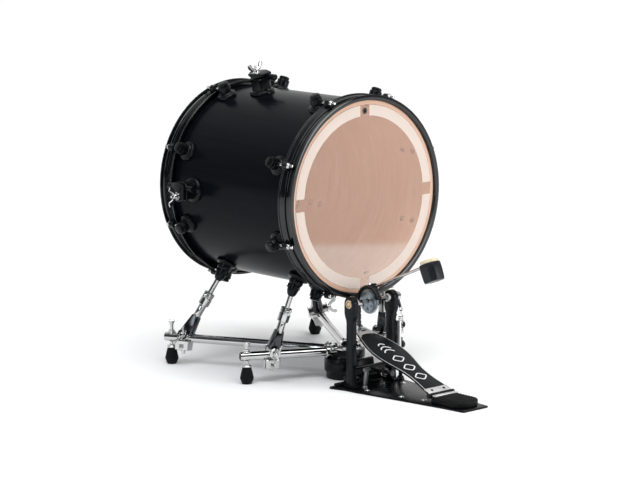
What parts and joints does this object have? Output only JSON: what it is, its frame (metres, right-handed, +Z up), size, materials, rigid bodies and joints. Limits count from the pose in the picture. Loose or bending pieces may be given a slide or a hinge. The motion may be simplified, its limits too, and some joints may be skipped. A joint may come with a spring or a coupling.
{
  "type": "bass drum",
  "caption": "Small bass drum with a black shell and clear batter head, raised on a folding chrome lift with rubber feet, and a chain-driven pedal whose beater swings to the head.",
  "frame": {"origin": "centre of the footprint's box, on the floor", "axes": "+Z up, Y along the drum's axis with the batter head and the pedal towards -Y, +X to the drummer's right"},
  "size_m": [0.5254, 0.7878, 0.6598],
  "materials": {
    "shell_lacquer": "satin black lacquer on maple",
    "black_metal": "satin black powder coat",
    "clear_head": "clear polyester film with a coated ring, the maple shell showing through",
    "coated_head": "pale coated polyester film",
    "chrome": "polished chrome plate",
    "cam_steel": "machined steel",
    "rubber": "moulded black rubber",
    "board_paint": "satin black with bare metal edges",
    "beater_plastic": "hard black plastic with a felt face",
    "felt": "pressed cream felt",
    "maple": "clear-sealed maple"
  },
  "bodies": {
    "drum_and_lift": {"shell": "shell_lacquer", "batter_hoop": "black_metal", "resonant_hoop": "black_metal", "batter_head": "clear_head", "resonant_head": "coated_head", "batter_lug_1": "black_metal", "batter_lug_2": "black_metal", "batter_lug_3": "black_metal", "batter_lug_4": "black_metal", "batter_lug_5": "black_metal", "batter_lug_6": "black_metal", "batter_lug_7": "black_metal", "batter_lug_8": "black_metal", "resonant_lug_1": "black_metal", "resonant_lug_2": "black_metal", "resonant_lug_3": "black_metal", "resonant_lug_4": "black_metal", "resonant_lug_5": "black_metal", "resonant_lug_6": "black_metal", "resonant_lug_7": "black_metal", "resonant_lug_8": "black_metal", "top_bracket": "black_metal", "top_jaw": "black_metal", "side_bracket": "black_metal", "side_jaw": "black_metal", "lift_hub": "black_metal", "lift_arm_1": "chrome", "lift_arm_2": "chrome", "lift_arm_3": "chrome", "lift_arm_4": "chrome", "leg_bracket_1": "black_metal", "leg_bracket_2": "black_metal", "leg_bracket_3": "black_metal", "leg_bracket_4": "black_metal", "leg_clamp_1": "chrome", "leg_clamp_2": "chrome", "leg_clamp_3": "chrome", "leg_clamp_4": "chrome", "leg_rod_1": "chrome", "leg_rod_2": "chrome", "leg_rod_3": "chrome", "leg_rod_4": "chrome", "pedal_base": "black_metal", "pedal_post_left": "black_metal", "pedal_post_right": "black_metal", "heel_plate": "rubber"},
    "top_wing": {"top_wing_nut": "chrome"},
    "side_wing": {"side_wing_nut": "chrome"},
    "footboard": {"footboard": "board_paint"},
    "axle": {"axle": "chrome", "cam": "cam_steel", "beater_hub": "black_metal"},
    "beater": {"beater_rod": "chrome", "beater_head": "beater_plastic"},
    "chain_run": {"chain": "chrome"},
    "spring": {"return_spring": "chrome"},
    "foot_1": {"rubber_foot_1": "rubber"},
    "foot_2": {"rubber_foot_2": "rubber"},
    "foot_3": {"rubber_foot_3": "rubber"},
    "foot_4": {"rubber_foot_4": "rubber"}
  },
  "joints": [
    {"name": "top_wing_turn", "type": "hinge", "parent": "drum_and_lift", "child": "top_wing", "pos_m": [-0.0459, 0.2441, 0.634], "axis": [-0.1908, 0, 0.9816], "continuous": true},
    {"name": "side_wing_turn", "type": "hinge", "parent": "drum_and_lift", "child": "side_wing", "pos_m": [-0.2388, 0.2811, 0.382], "axis": [-1, 0, 0], "continuous": true},
    {"name": "footboard_press", "type": "hinge", "parent": "drum_and_lift", "child": "footboard", "pos_m": [-0.0183, -0.2934, 0.017], "axis": [-1, 0, 0], "range_deg": [0, 8.9], "stiffness_Nm_per_rad": 12, "springref_deg": -1.72},
    {"name": "axle_turn", "type": "hinge", "parent": "drum_and_lift", "child": "axle", "pos_m": [-0.0183, -0.0879, 0.1813], "axis": [-1, 0, 0], "range_deg": [0, 70]},
    {"name": "chain_travel", "type": "slide", "parent": "drum_and_lift", "child": "chain_run", "axis": [0, 0.2915, -0.9566], "range_m": [0, 0.0407], "deforming": ["chain"]},
    {"name": "spring_travel", "type": "slide", "parent": "drum_and_lift", "child": "spring", "axis": [0, -0.5091, 0.8607], "range_m": [0, 0.034], "deforming": ["return_spring"]},
    {"name": "beater_height", "type": "slide", "parent": "axle", "child": "beater", "axis": [0, -0.9178, 0.3971], "range_m": [-0.012, 0.02]},
    {"name": "foot_1_turn", "type": "hinge", "parent": "drum_and_lift", "child": "foot_1", "pos_m": [-0.1935, 0.3571, 0], "axis": [0, 0, 1], "continuous": true},
    {"name": "foot_2_turn", "type": "hinge", "parent": "drum_and_lift", "child": "foot_2", "pos_m": [-0.2025, 0.0981, 0], "axis": [0, 0, 1], "continuous": true},
    {"name": "foot_3_turn", "type": "hinge", "parent": "drum_and_lift", "child": "foot_3", "pos_m": [0.2465, 0.3761, 0], "axis": [0, 0, 1], "continuous": true},
    {"name": "foot_4_turn", "type": "hinge", "parent": "drum_and_lift", "child": "foot_4", "pos_m": [0.2105, 0.0791, 0], "axis": [0, 0, 1], "continuous": true}
  ],
  "couplings": [
    {"joint": "axle_turn", "follows": "footboard_press", "ratio": 7.78},
    {"joint": "chain_travel", "follows": "footboard_press", "m_per_rad": 0.2535},
    {"joint": "spring_travel", "follows": "footboard_press", "m_per_rad": 0.2095}
  ]
}
